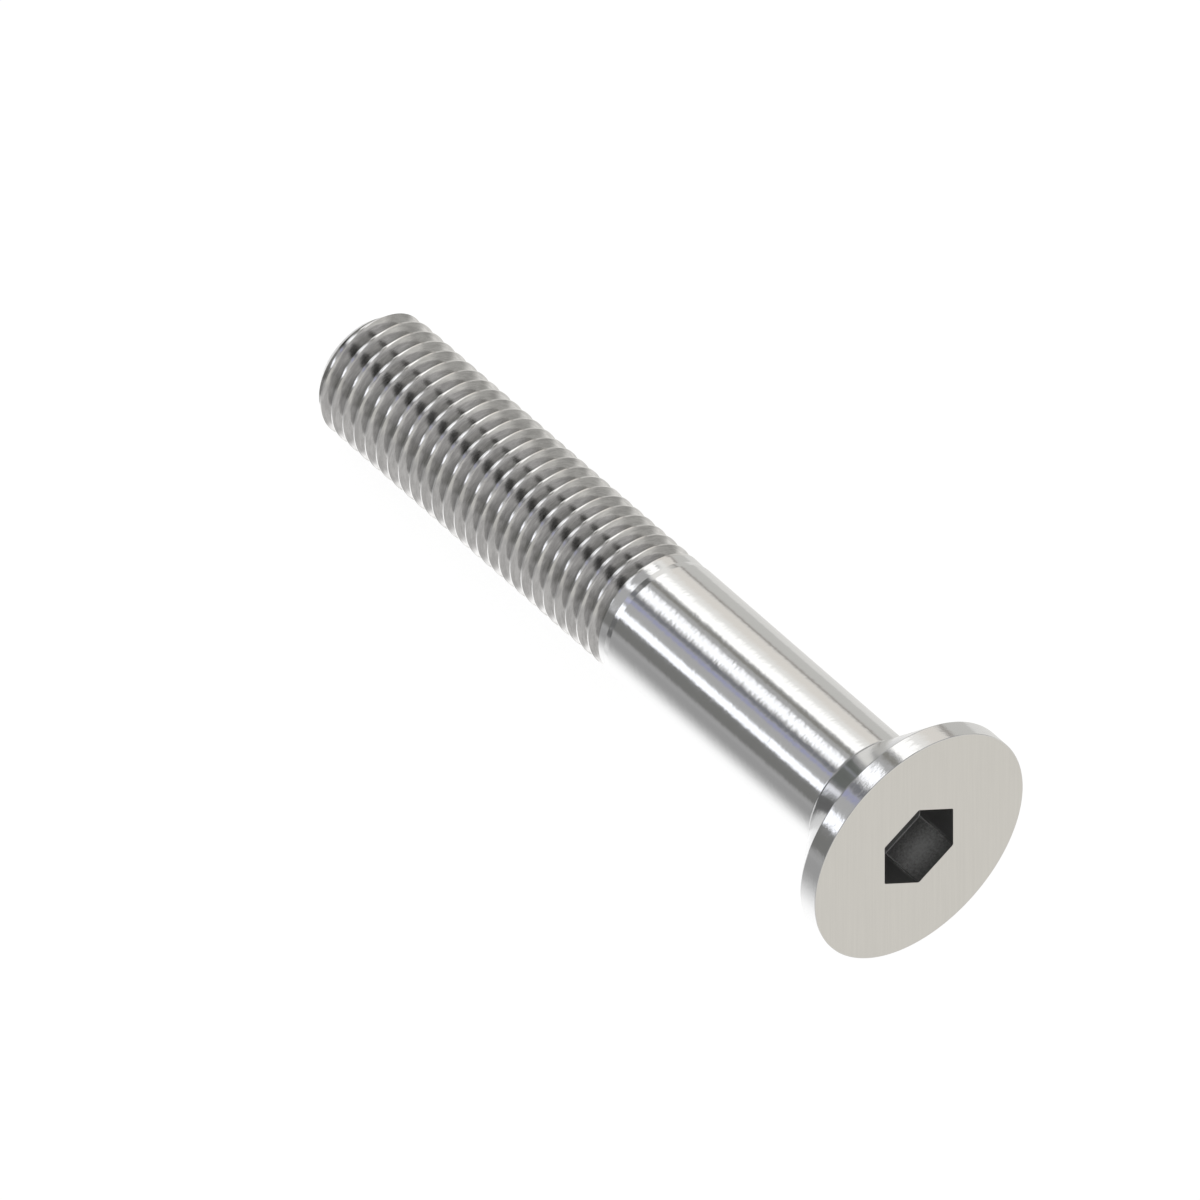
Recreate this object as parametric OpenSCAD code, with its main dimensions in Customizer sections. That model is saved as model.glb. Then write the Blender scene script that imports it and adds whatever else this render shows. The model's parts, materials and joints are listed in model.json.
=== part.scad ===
// Countersunk screw with a hexagonal socket, a plain shank and a fine right-hand thread.
// It is one turned piece. It is drawn along its own axis, from the face at station zero to the
// tip at the full length, and is then laid on its side as it comes to rest.

/* [Head] */
// Diameter of the head at its flat face
head_d = 15.2; // [13:0.1:20]
// Full angle of the countersunk cone
head_angle = 90; // [80:1:100]
// Height of the straight rim round the face
rim_h = 1.3; // [0.5:0.1:2.5]

/* [Socket] */
// Width of the hexagonal socket across its flats
socket_af = 5; // [3:0.1:6]
// Depth of the socket
socket_depth = 3; // [1.5:0.1:4]
// Radius in the six corners of the socket
socket_corner_r = 0.15; // [0.05:0.05:0.4]
// Angle by which the socket is turned about the screw's axis
socket_turn = 3.5; // [0:0.5:60]

/* [Shank] */
// Length over all, from the face to the tip
screw_l = 50; // [35:1:80]
// Diameter of the plain shank
shank_d = 8; // [7:0.1:9]
// Length from the end of the plain shank to the tip
thread_l = 27; // [12:1:30]

/* [Relief] */
// Smallest diameter of the shallow relief between the shank and the thread
relief_d = 7.9; // [7.5:0.01:7.96]
// Length over which the shank narrows into the relief
relief_l = 0.4; // [0.2:0.1:1]
// Length over which the relief widens again to the thread's outer diameter
lead_l = 0.6; // [0.2:0.1:2]

/* [Thread] */
// Outer diameter of the thread
thread_d = 7.97; // [7:0.01:8]
// Pitch of the thread
pitch = 1; // [0.75:0.05:1.25]
// Length from the narrowest place of the relief to the first groove of full depth
groove_gap = 0.4; // [0.3:0.1:2]
// Angle at which the first groove reaches its full depth
groove_start = -120; // [-180:5:180]
// Turns over which the first groove grows from nothing to its full depth
runout_turns = 0.35; // [0.1:0.05:0.8]
// Diameter of the flat end of the tip
tip_d = 6.1; // [5:0.1:6.4]

/* [Hidden] */
$fn = 96;

// Thread form: a sixty degree groove between flat crests, with a narrow flat root
flank_angle = 30;
crest_share = 1 / 8;
depth_share = 0.6134;
steps_per_turn = 36;
cutter_lap = 0.05;
groove_depth = pitch * depth_share;
groove_w = pitch * (1 - crest_share);
root_w = groove_w - 2 * groove_depth * tan(flank_angle);

// Radii
head_r = head_d / 2;
shank_r = shank_d / 2;
relief_r = min(relief_d, shank_d, thread_d) / 2;
thread_r = thread_d / 2;
tip_r = tip_d / 2;

// Stations along the axis, measured from the face
cone_end = rim_h + (head_r - shank_r) / tan(head_angle / 2);
shank_end = screw_l - thread_l;
relief_end = shank_end + relief_l;
lead_end = relief_end + lead_l;
groove_edge = relief_end + groove_gap;
chamfer_start = screw_l - (thread_r - tip_r);

// The screw lies on the lower edge of its rim and on the end of its thread
lie_angle = atan((head_r - thread_r) / (chamfer_start - rim_h));
face_x = (screw_l * cos(lie_angle) + (tip_r - head_r) * sin(lie_angle)) / 2;
face_z = rim_h * sin(lie_angle) + head_r * cos(lie_angle);

// Half outline of the turned blank, as radius and station
blank_outline = [
    [0, 0],
    [head_r, 0],
    [head_r, rim_h],
    [shank_r, cone_end],
    [shank_r, shank_end],
    [relief_r, relief_end],
    [thread_r, lead_end],
    [thread_r, chamfer_start],
    [tip_r, screw_l],
    [0, screw_l],
];

module blank() {
    rotate_extrude() polygon(blank_outline);
}

// Hexagonal recess with a small radius in each corner, open at the face
module socket() {
    flat_w = (socket_af - 2 * socket_corner_r) * tan(30);
    corner_x = (socket_af / 2 - socket_corner_r) / cos(30);
    mouth_lap = 1;
    translate([0, 0, -mouth_lap])
        rotate([0, 0, socket_turn])
            linear_extrude(socket_depth + mouth_lap) {
                for (turn = [0, 60, 120])
                    rotate(turn) square([flat_w, socket_af], center = true);
                for (turn = [0 : 60 : 300])
                    rotate(turn) translate([corner_x, 0]) circle(r = socket_corner_r);
            }
}

// Half section of the groove, as radius and distance along the axis from its middle line.
// The last two corners stand clear of the thread's outer diameter.
groove_section = [
    [thread_r - groove_depth, -root_w / 2],
    [thread_r - groove_depth, root_w / 2],
    [thread_r + cutter_lap, groove_w / 2 + cutter_lap * tan(flank_angle)],
    [thread_r + cutter_lap, -groove_w / 2 - cutter_lap * tan(flank_angle)],
];

// The groove's section at one place on the helix. Before turn zero it rises out of the metal.
function helix_ring(turn) =
    let (angle = groove_start + 360 * turn,
         middle = groove_edge + groove_w / 2 + turn * pitch,
         rise = (groove_depth + cutter_lap) * max(0, -turn / runout_turns))
    [for (corner = groove_section)
        [(corner.x + rise) * cos(angle), (corner.x + rise) * sin(angle), middle + corner.y]];

// Helical groove, from where it runs out beside the shank to past the tip
module groove() {
    turns = (screw_l + pitch - groove_edge) / pitch;
    rings = ceil((turns + runout_turns) * steps_per_turn);
    points = [for (i = [0 : rings]) each helix_ring(i / steps_per_turn - runout_turns)];
    sides = [
        for (i = [0 : rings - 1], k = [0 : 3])
            let (here = 4 * i + k, beside = 4 * i + (k + 1) % 4)
                each [[here, here + 4, beside], [beside, here + 4, beside + 4]]
    ];
    ends = [[0, 1, 2, 3], [for (k = [3 : -1 : 0]) 4 * rings + k]];
    polyhedron(points, concat(sides, ends), convexity = 10);
}

module screw() {
    color([0.74, 0.73, 0.71])
        translate([face_x, 0, face_z])
            rotate([0, -90 - lie_angle, 0])
                difference() {
                    blank();
                    socket();
                    groove();
                }
}

screw();
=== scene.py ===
"""Dresses the countersunk screw: models it with rounded edges and a true thread, and lights it."""

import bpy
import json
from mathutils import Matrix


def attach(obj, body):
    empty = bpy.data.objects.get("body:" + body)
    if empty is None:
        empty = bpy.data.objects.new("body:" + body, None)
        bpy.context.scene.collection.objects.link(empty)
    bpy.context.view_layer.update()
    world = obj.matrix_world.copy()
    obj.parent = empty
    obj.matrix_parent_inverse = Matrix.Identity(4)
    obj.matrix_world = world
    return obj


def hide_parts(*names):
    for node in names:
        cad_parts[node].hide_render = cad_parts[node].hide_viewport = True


bl_info = {
    "name": "Countersunk Screw",
    "version": (1, 0, 0),
    "blender": (4, 5, 0),
    "location": "3D View > Sidebar > Screw",
    "description": "Models a countersunk screw with a hexagonal socket and sets it on a lit floor",
    "category": "Object",
}

import json
from math import cos, degrees, pi, radians, sin, tan

import bmesh
import bpy
from bpy.props import FloatProperty, FloatVectorProperty, IntProperty, PointerProperty
from mathutils import Matrix, Vector

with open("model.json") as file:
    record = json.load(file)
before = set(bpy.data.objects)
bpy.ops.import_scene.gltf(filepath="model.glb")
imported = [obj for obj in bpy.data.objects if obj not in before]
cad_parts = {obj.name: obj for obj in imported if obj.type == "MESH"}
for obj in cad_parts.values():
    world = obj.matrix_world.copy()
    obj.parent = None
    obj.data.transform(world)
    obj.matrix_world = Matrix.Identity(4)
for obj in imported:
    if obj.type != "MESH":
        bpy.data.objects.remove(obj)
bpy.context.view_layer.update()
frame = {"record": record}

MM = 0.001

# Closer than this, in metres, two heights count as the same
HAIR = 1e-7

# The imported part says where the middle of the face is, which way the screw points, and how thick
# its shank and its thread are.
MOUNTS = {mount["name"]: mount for mount in frame["record"]["mounts"]}
FACE_MIDDLE = Vector(MOUNTS["hex_socket"]["pos_m"])
TO_TIP = Vector(MOUNTS["shank"]["axis"]).normalized()
ACROSS = Vector((0, 1, 0))
UPRIGHT = ACROSS.cross(TO_TIP)
SHANK_DIAMETER = 2 * MM * MOUNTS["shank"]["dims"]["r_mm"]
SHANK_LENGTH = MM * MOUNTS["shank"]["dims"]["length_mm"]
THREAD_DIAMETER = 2 * MM * MOUNTS["thread"]["dims"]["r_mm"]

# From the screw's own space, with its face at zero and its tip up, to where it lies
TURN_TO_REST = Matrix((UPRIGHT, ACROSS, TO_TIP)).transposed()
LAY_DOWN = Matrix.Translation(FACE_MIDDLE) @ TURN_TO_REST.to_4x4()

# The picture that the camera matches: its side, where the middle of the face lies in it, and scale
PICTURE_SIZE = 1200
FACE_MIDDLE_PIXEL = (918.9, 846.3)
PIXELS_PER_METRE = 17657.5

# Form of the thread. The shares are of its pitch.
DEPTH_SHARE = 0.6134
FLANK_ANGLE = radians(35)
CREST_SHARE = 0.09
PACKED_CREST_SHARE = 1 / 8
ROOT_ROUND_SHARE = 0.06
CREST_ROUND_SHARE = 0.02

# Half the angle that one side of a hexagon takes up
HALF_SIDE = pi / 6

# Faces that meet at less than this are shaded as one
SMOOTH_ANGLE = radians(35)


# Sizes, colours and light that a user would change


class ScrewSizes(bpy.types.PropertyGroup):
    """Lengths and angles of the screw, along its own axis from the face to the tip"""

    head_diameter: FloatProperty(
        name="Head Diameter", description="Across the flat face",
        default=15.2 * MM, unit="LENGTH")
    rim_height: FloatProperty(
        name="Rim Height", description="Straight part of the head beside the face",
        default=1.3 * MM, unit="LENGTH")
    head_angle: FloatProperty(
        name="Head Angle", description="Full angle of the countersunk cone",
        default=radians(90), unit="ROTATION")
    socket_width: FloatProperty(
        name="Socket Width", description="Across the flats of the hexagonal socket",
        default=5 * MM, unit="LENGTH")
    socket_depth: FloatProperty(
        name="Socket Depth", description="From the face to the floor of the socket",
        default=3 * MM, unit="LENGTH")
    socket_corner: FloatProperty(
        name="Socket Corner", description="Radius in the six corners of the socket",
        default=0.15 * MM, unit="LENGTH")
    socket_turn: FloatProperty(
        name="Socket Turn", description="Angle of the socket about the screw's axis",
        default=radians(3.5), unit="ROTATION")
    length: FloatProperty(
        name="Length", description="From the face to the tip",
        default=50 * MM, unit="LENGTH")
    shank_diameter: FloatProperty(
        name="Shank Diameter", description="Across the plain shank",
        default=SHANK_DIAMETER, unit="LENGTH")
    relief_diameter: FloatProperty(
        name="Relief Diameter", description="Narrowest place between the shank and the thread",
        default=7.9 * MM, unit="LENGTH")
    relief_length: FloatProperty(
        name="Relief Length", description="Over which the shank narrows into the relief",
        default=0.4 * MM, unit="LENGTH")
    lead_length: FloatProperty(
        name="Lead Length", description="Over which the relief widens to the thread",
        default=0.6 * MM, unit="LENGTH")
    thread_diameter: FloatProperty(
        name="Thread Diameter", description="Across the crests of the thread",
        default=THREAD_DIAMETER, unit="LENGTH")
    pitch: FloatProperty(
        name="Pitch", description="From one groove of the thread to the next",
        default=1 * MM, unit="LENGTH")
    groove_gap: FloatProperty(
        name="Groove Gap", description="From the narrowest place to the first full groove",
        default=0.4 * MM, unit="LENGTH")
    groove_start: FloatProperty(
        name="Groove Start", description="Angle at which the first groove has its full depth",
        default=radians(-120), unit="ROTATION")
    runout_turns: FloatProperty(
        name="Run-out", description="Turns over which the first groove grows",
        default=0.35, min=0.05)
    tip_diameter: FloatProperty(
        name="Tip Diameter", description="Across the flat end of the tip",
        default=6.1 * MM, unit="LENGTH")
    edge_round: FloatProperty(
        name="Edge Rounding", description="Width of the broken edges of the head",
        default=0.04 * MM, unit="LENGTH")
    steps: IntProperty(
        name="Steps", description="Sides of the turned body", default=192, min=24)
    thread_steps: IntProperty(
        name="Thread Steps", description="Sides of one turn of the thread", default=96, min=24)


class ScrewFinish(bpy.types.PropertyGroup):
    """Colours and gloss of the screw's surfaces"""

    steel: FloatVectorProperty(
        name="Steel", description="Turned steel of the rim, the cone and the shank",
        default=(0.80, 0.80, 0.80), subtype="COLOR", min=0, max=1)
    face: FloatVectorProperty(
        name="Face", description="Brushed steel of the flat face",
        default=(0.81, 0.79, 0.75), subtype="COLOR", min=0, max=1)
    thread: FloatVectorProperty(
        name="Thread", description="Steel of the thread, at its palest streaks",
        default=(0.87, 0.86, 0.85), subtype="COLOR", min=0, max=1)
    # Painted shade: this darker colour down in the root of the thread stands in for the shade in
    # the groove
    root: FloatVectorProperty(
        name="Thread Root", description="Dulled steel down in the root of the thread",
        default=(0.68, 0.68, 0.67), subtype="COLOR", min=0, max=1)
    # Painted light and shade of the socket: the first colour below is painted light in the middle
    # of the lower wall, the second is painted shade over the rest of its walls and its floor
    socket: FloatVectorProperty(
        name="Socket", description="Lower wall of the socket, in its middle",
        default=(1, 1, 1), subtype="COLOR", min=0, max=1)
    socket_painted_shade: FloatVectorProperty(
        name="Socket Edge", description="The rest of the socket's walls and its floor",
        default=(0.3, 0.3, 0.3), subtype="COLOR", min=0, max=1)


class StageSettings(bpy.types.PropertyGroup):
    """Floor, light and camera"""

    floor_colour: FloatVectorProperty(
        name="Floor", description="Colour of the floor and of the background",
        default=(1, 1, 1), subtype="COLOR", min=0, max=1)
    even_light: FloatVectorProperty(
        name="Even Light", description="Light from all round that the floor receives",
        default=(0.55, 0.55, 0.55), subtype="COLOR", min=0, max=1)
    floor_glow: FloatProperty(
        name="Floor Glow", description="Brightness of the floor in the picture, where 1 is white",
        default=1.2, min=0)
    floor_size: FloatProperty(
        name="Floor Size", description="Side of the square floor",
        default=1.2, unit="LENGTH")
    shadow: FloatProperty(
        name="Shadow", description="Share of the floor's brightness that a shadow can take",
        default=0.25, min=0, max=1)
    camera_elevation: FloatProperty(
        name="Camera Elevation", description="Angle of the view above the floor",
        default=radians(50.44), unit="ROTATION")
    camera_turn: FloatProperty(
        name="Camera Turn", description="Angle of the view about the upright, from the tip",
        default=radians(-39.23), unit="ROTATION")
    camera_distance: FloatProperty(
        name="Camera Distance", description="From the screw to the camera",
        default=0.6, unit="LENGTH")


# Shader maths


class Wire:
    """An output of a node. Sums and products of wires add the Math nodes that work them out."""

    def __init__(self, bench, socket):
        self.bench = bench
        self.socket = socket

    def math(self, operation, *values):
        """Adds one Math node on the given numbers and wires"""
        return self.bench.node(
            "ShaderNodeMath", {"operation": operation}, dict(enumerate(values)))

    def __add__(self, other):
        return self.math("ADD", self, other)

    def __sub__(self, other):
        return self.math("SUBTRACT", self, other)

    def __mul__(self, other):
        return self.math("MULTIPLY", self, other)

    def __abs__(self):
        return self.math("ABSOLUTE", self)

    __radd__ = __add__
    __rmul__ = __mul__


class Bench:
    """The node tree of one material or world, cleared and ready for new nodes"""

    def __init__(self, owner):
        owner.use_nodes = True
        self.tree = owner.node_tree
        self.tree.nodes.clear()

    def node(self, kind, settings=None, inputs=None, output=0):
        """Adds a node, sets it up, joins or fills its sockets and gives one of its outputs"""
        made = self.tree.nodes.new(kind)
        for name, value in (settings or {}).items():
            setattr(made, name, value)
        for key, value in (inputs or {}).items():
            if isinstance(value, Wire):
                self.tree.links.new(value.socket, made.inputs[key])
            else:
                made.inputs[key].default_value = value
        return Wire(self, made.outputs[output]) if made.outputs else None

    def ramp(self, value, low, high):
        """Smooth step from 0 at low to 1 at high, or the other way round if low is the larger"""
        return self.node(
            "ShaderNodeMapRange", {"interpolation_type": "SMOOTHSTEP"},
            {"Value": value, "From Min": low, "From Max": high})

    def noise(self, place, stretch, detail=2.0, roughness=0.5):
        """Noise on a place in millimetres, with so many grains to the millimetre each way"""
        stretched = self.node(
            "ShaderNodeVectorMath", {"operation": "MULTIPLY"}, {0: place, 1: stretch})
        return self.node(
            "ShaderNodeTexNoise", {},
            {"Vector": stretched, "Scale": 1.0, "Detail": detail, "Roughness": roughness})

    def length(self, place, weights):
        """How far a place lies from the middle, with each direction weighted"""
        weighted = self.node(
            "ShaderNodeVectorMath", {"operation": "MULTIPLY"}, {0: place, 1: weights})
        return self.node(
            "ShaderNodeVectorMath", {"operation": "LENGTH"}, {0: weighted}, output="Value")

    def bump(self, height, distance):
        """Surface normal that rises over such a distance where the height is 1"""
        return self.node(
            "ShaderNodeBump", {}, {"Height": height, "Strength": 1.0, "Distance": distance})

    def mix(self, share, first, second):
        """Colour between the first and the second. The numbers are its colour sockets."""
        return self.node(
            "ShaderNodeMix", {"data_type": "RGBA"}, {0: share, 6: first, 7: second}, output=2)


def shaded(colour, share=1.0):
    """The colour at a share of its brightness, with the fourth number that a socket needs"""
    return (*(share * channel for channel in colour), 1.0)


# Materials. Each reads the screw's own space, in millimetres along Z from its face.


def screw_space(bench):
    """Place on the screw as it was modelled: upright, with its face at zero"""
    objects = bench.node("ShaderNodeTexCoord", output="Object")
    return bench.node(
        "ShaderNodeMapping", {"vector_type": "TEXTURE"},
        {"Vector": objects, "Location": FACE_MIDDLE,
         "Rotation": TURN_TO_REST.to_euler(), "Scale": (MM, MM, MM)})


def finish_metal(bench, colour, roughness, normal):
    """Joins what the material works out to its shader and output"""
    shader = bench.node(
        "ShaderNodeBsdfPrincipled", {},
        {"Base Color": colour, "Metallic": 1.0, "Roughness": roughness, "Normal": normal})
    bench.node("ShaderNodeOutputMaterial", {}, {"Surface": shader})


def turned_steel(finish):
    """Bright steel with short marks from the lathe, which fray the edges of what it mirrors"""
    material = bpy.data.materials.new("turned_steel")
    bench = Bench(material)
    place = screw_space(bench)
    marks = bench.noise(place, (1.6, 1.6, 3.4), detail=3.0, roughness=0.55)
    patches = bench.noise(place, (0.5, 0.5, 1.0), detail=3.0)
    shade = bench.mix(patches, shaded(finish.steel, 0.97), shaded(finish.steel))
    roughness = 0.07 + 0.04 * marks + 0.04 * patches
    finish_metal(bench, shade, roughness, bench.bump(marks, 0.009 * MM))
    return material


def brushed_steel(finish, turn):
    """The face, brushed one way along the flats of the socket"""
    material = bpy.data.materials.new("brushed_face")
    bench = Bench(material)
    place = screw_space(bench)
    along_brush = bench.node(
        "ShaderNodeMapping", {"vector_type": "TEXTURE"},
        {"Vector": place, "Rotation": (0, 0, turn)})
    strokes = bench.noise(along_brush, (0.12, 6.0, 0.0), detail=3.0, roughness=0.6)
    patches = bench.noise(along_brush, (0.4, 0.8, 0.0))
    shade = bench.mix(strokes, shaded(finish.face, 0.9), shaded(finish.face))
    roughness = 0.30 + 0.08 * patches
    finish_metal(bench, shade, roughness, bench.bump(strokes, 0.003 * MM))
    return material


def rolled_steel(finish, sizes):
    """Steel of the thread, streaked along its grooves, with painted shade in patches down in the
    root
    """
    material = bpy.data.materials.new("rolled_thread")
    bench = Bench(material)
    place = screw_space(bench)
    streaks = bench.noise(place, (0.7, 0.7, 8.0), detail=4.0, roughness=0.7)
    patches = bench.noise(place, (1.1, 1.1, 1.1), detail=4.0)
    radius = bench.length(place, (1, 1, 0))
    outer = sizes.thread_diameter / MM / 2
    flank = bench.ramp(radius + 0.3 * streaks - 0.6 * patches, outer - 0.85, outer - 0.55)
    pale = bench.ramp(streaks * 0.75 + patches * 0.25, 0.38, 0.62)
    steel = bench.mix(pale, shaded(finish.thread, 0.8), shaded(finish.thread))
    # Painted shade: down in the root, where the flank mask falls off, the colour turns to the
    # darker root colour
    shade = bench.mix(flank, shaded(finish.root), steel)
    roughness = 0.06 + 0.05 * flank + 0.06 * patches
    finish_metal(bench, shade, roughness, bench.bump(streaks, 0.003 * MM))
    return material


def socket_steel_painted_light(finish, sizes):
    """Dark, grainy walls of the socket in painted shade, with painted light, paler, in the middle
    of the lower wall
    """
    material = bpy.data.materials.new("socket_painted_light_and_shade")
    bench = Bench(material)
    place = screw_space(bench)
    width, depth = sizes.socket_width / MM, sizes.socket_depth / MM
    # X is turned to point at the lower wall, and Z starts halfway down the socket
    from_middle = bench.node(
        "ShaderNodeMapping", {"vector_type": "TEXTURE"},
        {"Vector": place, "Rotation": (0, 0, sizes.socket_turn + 5 * HALF_SIDE),
         "Location": (0, 0, depth / 2)})
    towards_wall = bench.node("ShaderNodeSeparateXYZ", {}, {0: from_middle})
    on_lit_lower_wall = bench.ramp(towards_wall, 0.42 * width, 0.49 * width)
    grain = bench.noise(place, (7.0, 7.0, 7.0), detail=2.0, roughness=0.7)
    painted_light_spread = bench.length(from_middle, (0, 1.3 / width, 1.5 / depth)) + 0.7 * grain - 0.2
    # Painted light: the middle of the lower wall is pale where light falls into the socket, and
    # the rest keeps the painted shade
    pale = bench.ramp(painted_light_spread, 1.0, 0.05) * on_lit_lower_wall
    shade = bench.mix(pale, shaded(finish.socket_painted_shade), shaded(finish.socket))
    finish_metal(bench, shade, 0.5, bench.bump(grain, 0.01 * MM))
    return material


# Modelling


def start_piece():
    """Leaves nothing selected, so that the next operators act on the new piece alone"""
    if bpy.context.object and bpy.context.object.mode != "OBJECT":
        bpy.ops.object.mode_set(mode="OBJECT")
    bpy.ops.object.select_all(action="DESELECT")


def choose(piece, kind, wanted):
    """In edit mode, selects the edges or the points for which wanted says yes"""
    bpy.ops.mesh.select_mode(type=kind)
    bpy.ops.mesh.select_all(action="DESELECT")
    shape = bmesh.from_edit_mesh(piece.data)
    for part in shape.edges if kind == "EDGE" else shape.verts:
        if wanted(part):
            part.select_set(True)
    shape.select_flush_mode()
    bmesh.update_edit_mesh(piece.data)


def choose_edges(piece, wanted):
    choose(piece, "EDGE", wanted)


def choose_points(piece, wanted):
    choose(piece, "VERT", wanted)


def cut_away(piece, cutter):
    """Takes the cutter's shape out of the piece and removes the cutter"""
    start_piece()
    bpy.context.view_layer.objects.active = piece
    piece.select_set(True)
    cut = piece.modifiers.new("cut", "BOOLEAN")
    cut.operation = "DIFFERENCE"
    cut.solver = "MANIFOLD"
    cut.object = cutter
    bpy.ops.object.modifier_apply(modifier=cut.name)
    bpy.data.objects.remove(cutter)


def stations(sizes):
    """Where the cone, the shank, the relief and the lead into the thread end, from the face"""
    cone_end = sizes.rim_height + (
        (sizes.head_diameter - sizes.shank_diameter) / 2 / tan(sizes.head_angle / 2))
    shank_end = cone_end + SHANK_LENGTH
    relief_end = shank_end + sizes.relief_length
    return cone_end, shank_end, relief_end, relief_end + sizes.lead_length


def turn_blank(sizes):
    """Turned body, extruded from the face up to the tip, with its sharp edges broken"""
    head, shank, thread, relief, tip = (d / 2 for d in (
        sizes.head_diameter, sizes.shank_diameter, sizes.thread_diameter,
        sizes.relief_diameter, sizes.tip_diameter))
    cone_end, shank_end, relief_end, lead_end = stations(sizes)
    outline = [
        (0, head),
        (sizes.rim_height, head),
        (cone_end, shank),
        (shank_end, shank),
        (relief_end, relief),
        (lead_end, thread),
        (sizes.length - (thread - tip), thread),
        (sizes.length, tip),
    ]
    start_piece()
    bpy.ops.mesh.primitive_circle_add(
        vertices=sizes.steps, radius=head, fill_type="NGON", location=(0, 0, 0))
    blank = bpy.context.object
    blank.name = blank.data.name = "countersunk_screw"
    bpy.ops.object.mode_set(mode="EDIT")
    bpy.ops.mesh.select_all(action="SELECT")
    for (below, wide), (above, wider) in zip(outline, outline[1:]):
        bpy.ops.mesh.extrude_region_move(
            TRANSFORM_OT_translate={"value": (0, 0, above - below)})
        if wider != wide:
            bpy.ops.transform.resize(
                value=(wider / wide, wider / wide, 1), center_override=(0, 0, above))
    bpy.ops.mesh.select_all(action="SELECT")
    bpy.ops.mesh.normals_make_consistent(inside=False)

    def break_edge(height, width, segments):
        choose_edges(blank, lambda edge: all(abs(p.co.z - height) < HAIR for p in edge.verts))
        bpy.ops.mesh.bevel(offset=width, segments=segments, affect="EDGES")

    break_edge(0, sizes.edge_round, 3)
    break_edge(sizes.rim_height, sizes.edge_round, 2)
    break_edge(cone_end, 2 * sizes.edge_round, 3)
    break_edge(sizes.length, sizes.edge_round, 2)
    bpy.ops.object.mode_set(mode="OBJECT")
    return blank


def cut_socket(blank, sizes):
    """Hexagonal prism with rounded corners, taken out of the face"""
    lip = 1 * MM
    start_piece()
    bpy.ops.mesh.primitive_cylinder_add(
        vertices=6, radius=sizes.socket_width / 2 / cos(HALF_SIDE),
        depth=sizes.socket_depth + lip,
        location=(0, 0, (sizes.socket_depth - lip) / 2),
        rotation=(0, 0, sizes.socket_turn + HALF_SIDE))
    key = bpy.context.object
    bpy.ops.object.transform_apply(location=True, rotation=True, scale=True)
    bpy.ops.object.mode_set(mode="EDIT")
    choose_edges(key, lambda edge: abs(edge.verts[0].co.z - edge.verts[1].co.z) > lip)
    bpy.ops.mesh.bevel(
        offset=sizes.socket_corner * tan(HALF_SIDE), segments=4, affect="EDGES")
    choose_edges(key, lambda edge: all(p.co.z > sizes.socket_depth - HAIR for p in edge.verts))
    bpy.ops.mesh.bevel(offset=sizes.edge_round, segments=2, affect="EDGES")
    bpy.ops.object.mode_set(mode="OBJECT")
    cut_away(blank, key)


def cut_thread(blank, sizes):
    """One groove swept along a helix, which rises out of the metal at its start"""
    outer = sizes.thread_diameter / 2
    depth = DEPTH_SHARE * sizes.pitch
    mouth_half = sizes.pitch * (1 - CREST_SHARE) / 2
    root_half = mouth_half - depth * tan(FLANK_ANGLE)
    lap = 0.05 * MM
    # The groove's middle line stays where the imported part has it
    edge = stations(sizes)[2] + sizes.groove_gap
    middle = edge + sizes.pitch * (1 - PACKED_CREST_SHARE) / 2 - sizes.runout_turns * sizes.pitch
    turns = (sizes.length + sizes.pitch - edge) / sizes.pitch + sizes.runout_turns
    first_angle = sizes.groove_start - 2 * pi * sizes.runout_turns

    # Section of the groove, upright in the plane of X and Z
    start_piece()
    bpy.ops.mesh.primitive_plane_add(
        size=1, location=(outer - depth / 2, 0, middle), rotation=(pi / 2, 0, 0))
    groove = bpy.context.object
    bpy.ops.transform.resize(value=(depth, 1, 2 * root_half), center_override=groove.location)
    bpy.ops.object.transform_apply(location=True, rotation=True, scale=True)
    bpy.ops.object.mode_set(mode="EDIT")
    choose_points(groove, lambda point: point.co.x > outer - depth / 2)
    bpy.ops.transform.resize(
        value=(1, 1, mouth_half / root_half), center_override=(outer, 0, middle))
    bpy.ops.mesh.extrude_region_move(TRANSFORM_OT_translate={"value": (lap, 0, 0)})
    choose_points(groove, lambda point: point.co.x < outer - depth / 2)
    bpy.ops.mesh.bevel(offset=ROOT_ROUND_SHARE * sizes.pitch, segments=3, affect="VERTICES")
    choose_points(groove, lambda point: abs(point.co.x - outer) < HAIR)
    bpy.ops.mesh.bevel(offset=CREST_ROUND_SHARE * sizes.pitch, segments=3, affect="VERTICES")
    bpy.ops.mesh.select_mode(type="FACE")
    bpy.ops.mesh.select_all(action="SELECT")
    bpy.ops.mesh.dissolve_faces()
    bpy.ops.mesh.delete(type="ONLY_FACE")
    bpy.ops.object.mode_set(mode="OBJECT")

    # The sweep, and the first rings moved outwards until the groove starts clear of the metal
    groove.rotation_euler = (0, 0, first_angle)
    bpy.ops.object.transform_apply(location=False, rotation=True, scale=False)
    corners = len(groove.data.vertices)
    sweep = groove.modifiers.new("sweep", "SCREW")
    sweep.axis = "Z"
    sweep.angle = 2 * pi * turns
    sweep.screw_offset = sizes.pitch * turns
    sweep.steps = sweep.render_steps = round(turns * sizes.thread_steps)
    sweep.use_merge_vertices = False
    bpy.ops.object.modifier_apply(modifier=sweep.name)
    bpy.ops.object.mode_set(mode="EDIT")
    root = outer - depth
    rising = round(sizes.runout_turns * sizes.thread_steps)
    for ring in range(rising):
        choose_points(groove, lambda point: point.index // corners == ring)
        rise = 1 + (depth + lap) / root * (1 - ring / rising)
        bpy.ops.transform.resize(value=(rise, rise, 1), center_override=(0, 0, 0))
    choose_edges(groove, lambda edge: edge.is_boundary)
    bpy.ops.mesh.fill()
    bpy.ops.mesh.select_all(action="SELECT")
    bpy.ops.mesh.normals_make_consistent(inside=False)
    bpy.ops.object.mode_set(mode="OBJECT")
    cut_away(blank, groove)


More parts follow.
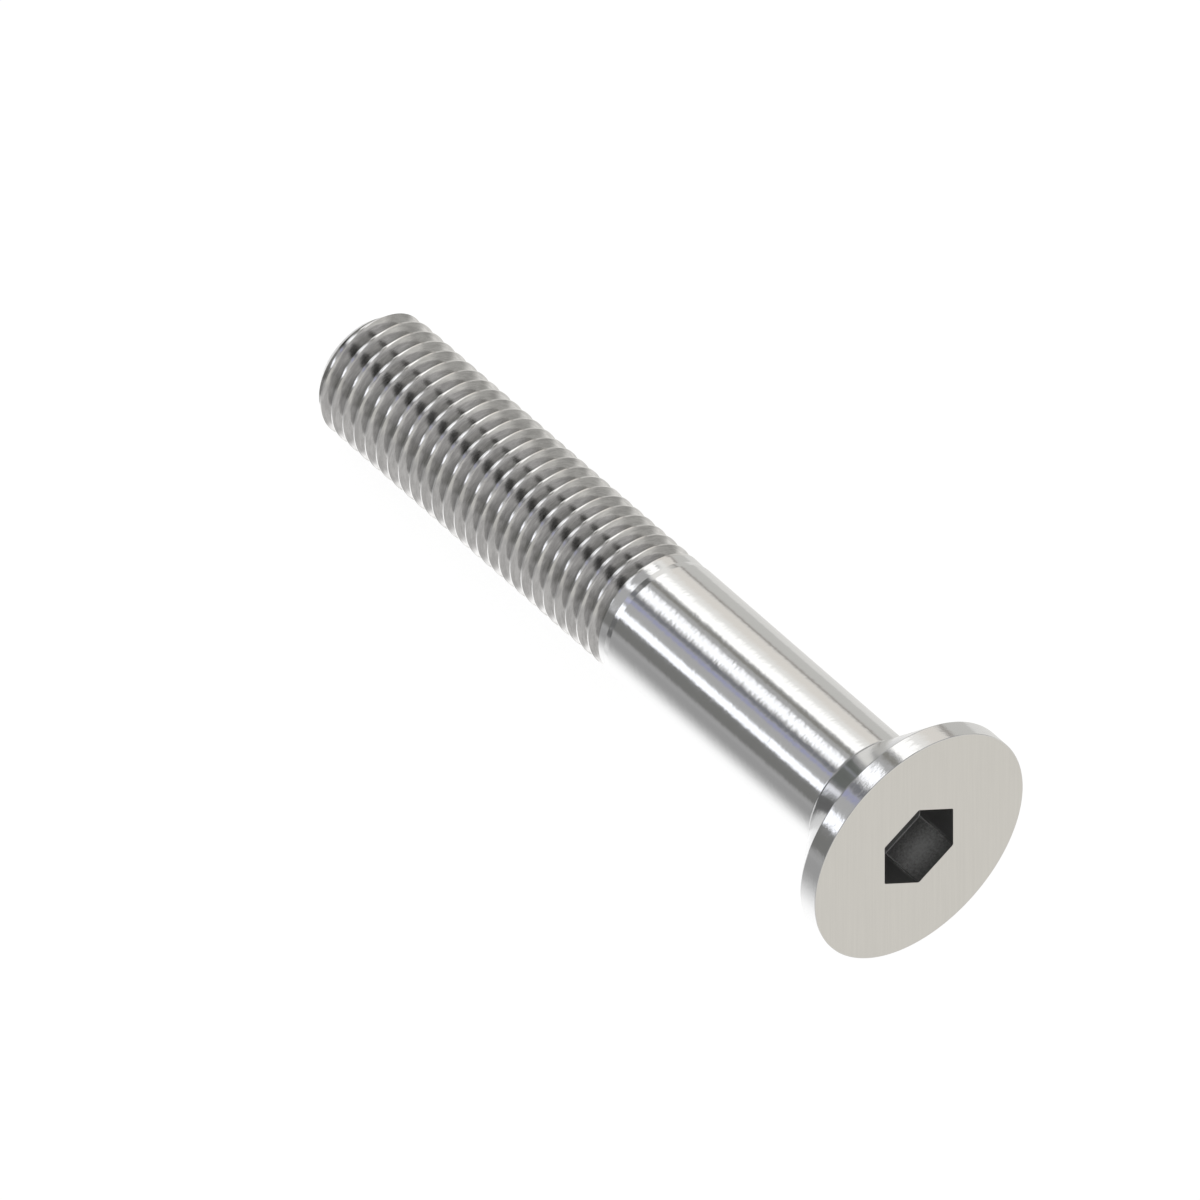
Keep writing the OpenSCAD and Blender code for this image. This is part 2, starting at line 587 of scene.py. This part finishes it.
def keep_crisp(screw, sizes):
    """Merges what the cuts left double, and marks the turned edges and the crests sharp"""
    start_piece()
    bpy.context.view_layer.objects.active = screw
    screw.select_set(True)
    bpy.ops.object.mode_set(mode="EDIT")
    bpy.ops.mesh.select_all(action="SELECT")
    bpy.ops.mesh.remove_doubles(threshold=HAIR)
    relief_end, lead_end = stations(sizes)[2:]

    def crisp(edge):
        first, second = (point.co.z for point in edge.verts)
        if abs(first - second) < HAIR:
            return first < lead_end + HAIR
        if first < relief_end or len(edge.link_faces) != 2:
            return False
        # Where a flank of the thread, which faces along the axis, ends at its crest
        inner, outer = sorted(
            edge.link_faces, key=lambda side: side.calc_center_median().xy.length)
        return abs(inner.normal.z) > 0.8 > abs(outer.normal.z)

    choose_edges(screw, crisp)
    bpy.ops.mesh.mark_sharp()
    bpy.ops.object.mode_set(mode="OBJECT")


def assign_finishes(screw, sizes, finish):
    """Face, turned parts, thread and socket each get their own material"""
    screw.data.materials.clear()
    for material in (
            turned_steel(finish), brushed_steel(finish, sizes.socket_turn),
            rolled_steel(finish, sizes), socket_steel_painted_light(finish, sizes)):
        screw.data.materials.append(material)
    turned, face, thread, socket = range(4)
    socket_radius = sizes.socket_width / 2 / cos(HALF_SIDE)
    # The rounded corners of the socket, and the rounding round its floor, get the bright turned
    # steel instead of the socket's painted shade
    spared_shade_radius = socket_radius - 0.6 * sizes.socket_corner * tan(HALF_SIDE) ** 2
    spared_shade_depth = sizes.socket_depth - sizes.edge_round
    groove_radius = sizes.thread_diameter / 2 - 0.04 * MM
    relief_end, lead_end = stations(sizes)[2:]
    for polygon in screw.data.polygons:
        spot = polygon.center
        radius = spot.xy.length
        if spot.z < 0.001 * MM:
            polygon.material_index = face
        elif radius < socket_radius and spot.z < sizes.socket_depth + 0.1 * MM:
            spared_shade = radius > spared_shade_radius or spared_shade_depth < spot.z < sizes.socket_depth - HAIR
            polygon.material_index = turned if spared_shade else socket
        elif spot.z > lead_end or (spot.z > relief_end and radius < groove_radius):
            polygon.material_index = thread
        else:
            polygon.material_index = turned


class MakeScrew(bpy.types.Operator):
    """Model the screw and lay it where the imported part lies"""

    bl_idname = "screw.make"
    bl_label = "Make Screw"

    def execute(self, context):
        sizes, finish = context.scene.screw_sizes, context.scene.screw_finish
        screw = turn_blank(sizes)
        cut_socket(screw, sizes)
        cut_thread(screw, sizes)
        keep_crisp(screw, sizes)
        assign_finishes(screw, sizes, finish)
        bpy.ops.object.shade_smooth_by_angle(angle=SMOOTH_ANGLE)
        screw.matrix_world = LAY_DOWN
        bpy.ops.object.transform_apply(location=True, rotation=True, scale=True)
        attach(screw, "root")
        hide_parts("screw")
        return {"FINISHED"}


# Stage


def make_floor(stage):
    """Plain floor, white in the picture but for a faint shadow, and unseen by the steel"""
    start_piece()
    bpy.ops.mesh.primitive_plane_add(size=stage.floor_size, location=(0, 0, 0))
    floor = bpy.context.object
    floor.name = "floor"
    floor.visible_glossy = False
    material = bpy.data.materials.new("floor")
    bench = Bench(material)
    camera_ray = bench.node("ShaderNodeLightPath", output="Is Camera Ray")
    lit = bench.node("ShaderNodeBsdfDiffuse", {}, {"Color": shaded(stage.floor_colour)})
    glow = bench.node(
        "ShaderNodeEmission", {},
        {"Color": shaded(stage.floor_colour), "Strength": stage.floor_glow})
    surface = bench.node(
        "ShaderNodeMixShader", {}, {0: camera_ray * (1 - stage.shadow), 1: lit, 2: glow})
    bench.node("ShaderNodeOutputMaterial", {}, {"Surface": surface})
    floor.data.materials.append(material)


# The studio that the steel mirrors, in degrees. Its walls pass into its floor between two
# elevations. In front of them are walls, sheets and soft lamps, each given by the direction of its
# middle as seen from the screw, and laid over the ones before it. Azimuth is measured from
# straight ahead of the camera, with the right hand positive, and elevation from the floor.
WALL_FOOT, WALL_STRENGTH = -20, 0.38
FLOOR_EDGE, FLOOR_STRENGTH = -57, 1.2
PANELS = (
    # name, azimuth, elevation, half width, half height, lean, soft edge, strength, colour
    ("ceiling", 0, 60, 400, 38, 0, 6, 0.46, (1, 1, 1)),
    ("high ceiling", 0, 86, 400, 18, 0, 6, 0.29, (1, 1, 0.98)),
    ("camera side", -170, 52, 14, 9, 0, 4, 1.8, (1, 1, 1)),
    ("upper left", -126, 34, 13, 16, 0, 6, 0.31, (1, 1, 1)),
    ("right floor", 70, -50, 74, 38, 0, 5, 0.78, (1, 0.99, 0.96)),
    ("right wall", 95, 0, 99, 13, 0, 3, 0.61, (1, 0.99, 0.95)),
    ("right end", 80, -8, 16, 13, 0, 6, 0.36, (1, 0.99, 0.95)),
    ("right drape", 57, 28, 9, 24, 0, 6, 0.28, (1, 0.99, 0.95)),
    ("near floor", 165, -38, 28, 24, 0, 6, 0.5, (1, 0.99, 0.98)),
    ("left corner", -138, 6, 20, 14, 0, 6, 0.21, (1, 1, 1)),
    ("left corner foot", -148, -24, 17, 18, 0, 6, 0.32, (1, 1, 1)),
    ("left wall", -70, -2, 20, 20, 0, 2, 0.16, (1, 1, 1)),
    ("left floor", -65, -33, 12, 15, 0, 3, 0.84, (1, 1, 1)),
    ("far left wall", -115, 6, 25, 10, 0, 2, 0.21, (1, 1, 0.97)),
    ("far left edge", -116, -3, 4.5, 16, 0, 4, 0.45, (1, 1, 1)),
    ("left ledge", -97, -9.5, 12, 2, 0, 2, 0.42, (1, 1, 1)),
    ("left lamp", -79, 15.5, 8, 9, -22, 2, 1.45, (0.95, 0.97, 1.03)),
    ("left lamp end", -89.6, 20.8, 5.2, 5.8, -22, 1.6, 1.45, (0.95, 0.97, 1.03)),
    ("left wall edge", -72, 3.2, 4, 4, 0, 1.5, 0.16, (1, 1, 0.97)),
    ("left lamp tail", -68.5, 13, 4, 3.6, 0, 1.6, 1.1, (0.96, 0.97, 1.03)),
    ("cool line", -69.5, 31, 3, 9, 40, 3, 0.62, (0.87, 0.89, 1.22)),
    ("cool line end", -77.5, 39.5, 2.8, 3, 40, 2, 0.4, (0.86, 0.89, 1.32)),
    ("slate line", -63, 39, 4, 14, 55, 2, 0.2, (0.96, 0.98, 1.06)),
    ("recess", -36, 37, 12, 6, 0, 2, 0.14, (1, 1, 1)),
    ("recess glint", -44, 38, 3, 4, 0, 2, 0.36, (1, 1, 1)),
    ("lower recess", -47, 26, 18, 6, 18, 2, 0.165, (0.97, 1.03, 0.96)),
    ("lower glint", -41.5, 29.5, 2, 3.5, 0, 1.6, 0.36, (0.95, 0.98, 1.06)),
    ("top lamp", -56, 51.7, 18.5, 4, -10, 1.6, 1.4, (0.98, 0.99, 1.02)),
    ("dim corner", -23, 50, 4, 4, 0, 2.5, 0.25, (1, 0.98, 0.88)),
    ("warm sheet", 1, 28, 21, 13, 0, 4, 0.94, (1, 0.99, 0.96)),
    ("lower warm sheet", 13, 22, 10, 8, 0, 4, 0.83, (1, 0.96, 0.9)),
    ("back lamp", -4, 46, 11, 7, -12, 2, 1.35, (1, 0.995, 0.98)),
    ("dark gap", 14, 10, 12, 1.8, 25, 1.8, 0.36, (1, 0.94, 0.88)),
    ("left card", -89, 64, 26, 8, 8, 1.6, 0.03, (1, 1, 0.95)),
    ("right card", 24, 64, 15, 5, -2, 2, 0.06, (1, 0.98, 0.92)),
    ("rear wall", 180, 50, 16, 11, 0, 6, 0.95, (1, 1, 1)),
    ("rear lamp", 145, 56, 8, 5, 0, 3, 1.4, (1, 1, 1)),
)


def light_room(scene, stage, ahead, right):
    """World that shows the studio to the steel, and plain even light to the floor"""
    world = bpy.data.worlds.new("studio")
    scene.world = world
    bench = Bench(world)
    towards = bench.node("ShaderNodeTexCoord", output="Generated")

    def share_along(direction):
        return bench.node(
            "ShaderNodeVectorMath", {"operation": "DOT_PRODUCT"},
            {0: towards, 1: direction}, output="Value")

    forward, sideways, upwards = share_along(ahead), share_along(right), share_along((0, 0, 1))
    azimuth = sideways.math("ARCTAN2", sideways, forward) * degrees(1)
    elevation = upwards.math("ARCSINE", upwards) * degrees(1)
    light = bench.mix(
        bench.ramp(elevation, WALL_FOOT, FLOOR_EDGE),
        shaded((1, 1, 1), WALL_STRENGTH), shaded((1, 1, 1), FLOOR_STRENGTH))
    for _, turn, height, wide, tall, lean, soft, strength, colour in PANELS:
        across = azimuth.math("WRAP", azimuth - turn, 180, -180)
        upward = elevation - height
        along, aside = across, upward
        if lean:
            lean_cos, lean_sin = cos(radians(lean)), sin(radians(lean))
            along = across * lean_cos + upward * lean_sin
            aside = upward * lean_cos - across * lean_sin
        reach = bench.ramp(abs(along), wide + soft, wide - soft)
        reach = reach * bench.ramp(abs(aside), tall + soft, tall - soft)
        light = bench.mix(reach, light, shaded(colour, strength))
    # Only what the steel mirrors needs the studio. The floor is lit by its even light.
    camera_ray = bench.node("ShaderNodeLightPath", output="Is Camera Ray")
    mirrored_ray = bench.node("ShaderNodeLightPath", output="Is Glossy Ray")
    even = bench.mix(camera_ray, shaded(stage.even_light), shaded(stage.floor_colour))
    plain = bench.node("ShaderNodeBackground", {}, {"Color": even, "Strength": 1.0})
    studio = bench.node("ShaderNodeBackground", {}, {"Color": light, "Strength": 1.0})
    seen = bench.node("ShaderNodeMixShader", {}, {0: mirrored_ray, 1: plain, 2: studio})
    bench.node("ShaderNodeOutputWorld", {}, {"Surface": seen})


def place_camera(scene, stage, towards, right):
    """Parallel camera that sees the middle of the face where the picture has it"""
    up = towards.cross(right)
    picture_middle = PICTURE_SIZE / 2
    middle = (
        FACE_MIDDLE
        - right * (FACE_MIDDLE_PIXEL[0] - picture_middle) / PIXELS_PER_METRE
        + up * (FACE_MIDDLE_PIXEL[1] - picture_middle) / PIXELS_PER_METRE)
    start_piece()
    bpy.ops.object.camera_add(location=middle + towards * stage.camera_distance)
    camera = bpy.context.object
    camera.rotation_euler = Matrix((right, up, towards)).transposed().to_euler()
    camera.data.type = "ORTHO"
    camera.data.ortho_scale = PICTURE_SIZE / PIXELS_PER_METRE
    scene.camera = camera


class SetStage(bpy.types.Operator):
    """Lay the floor, light the room and place the camera"""

    bl_idname = "screw.stage"
    bl_label = "Set Stage"

    def execute(self, context):
        scene, stage = context.scene, context.scene.screw_stage
        turn, lift = stage.camera_turn, stage.camera_elevation
        towards = Vector((cos(turn) * cos(lift), sin(turn) * cos(lift), sin(lift)))
        ahead = -Vector((towards.x, towards.y, 0)).normalized()
        right = ahead.cross(Vector((0, 0, 1)))
        make_floor(stage)
        light_room(scene, stage, ahead, right)
        place_camera(scene, stage, towards, right)
        scene.view_settings.view_transform = "Standard"
        return {"FINISHED"}


class ScrewPanel(bpy.types.Panel):
    """Sizes, finish and stage of the screw"""

    bl_idname = "VIEW3D_PT_screw"
    bl_label = "Screw"
    bl_space_type = "VIEW_3D"
    bl_region_type = "UI"
    bl_category = "Screw"

    def draw(self, context):
        layout = self.layout
        for settings, operator in (
                (context.scene.screw_sizes, MakeScrew),
                (context.scene.screw_finish, None),
                (context.scene.screw_stage, SetStage)):
            for name in settings.bl_rna.properties.keys():
                if name not in ("rna_type", "name"):
                    layout.prop(settings, name)
            if operator:
                layout.operator(operator.bl_idname)


CLASSES = (ScrewSizes, ScrewFinish, StageSettings, MakeScrew, SetStage, ScrewPanel)


def register():
    for cls in CLASSES:
        bpy.utils.register_class(cls)
    bpy.types.Scene.screw_sizes = PointerProperty(type=ScrewSizes)
    bpy.types.Scene.screw_finish = PointerProperty(type=ScrewFinish)
    bpy.types.Scene.screw_stage = PointerProperty(type=StageSettings)


def unregister():
    del bpy.types.Scene.screw_stage
    del bpy.types.Scene.screw_finish
    del bpy.types.Scene.screw_sizes
    for cls in reversed(CLASSES):
        bpy.utils.unregister_class(cls)


def main():
    register()
    bpy.ops.screw.make()
    bpy.ops.screw.stage()


if __name__ == "__main__":
    main()
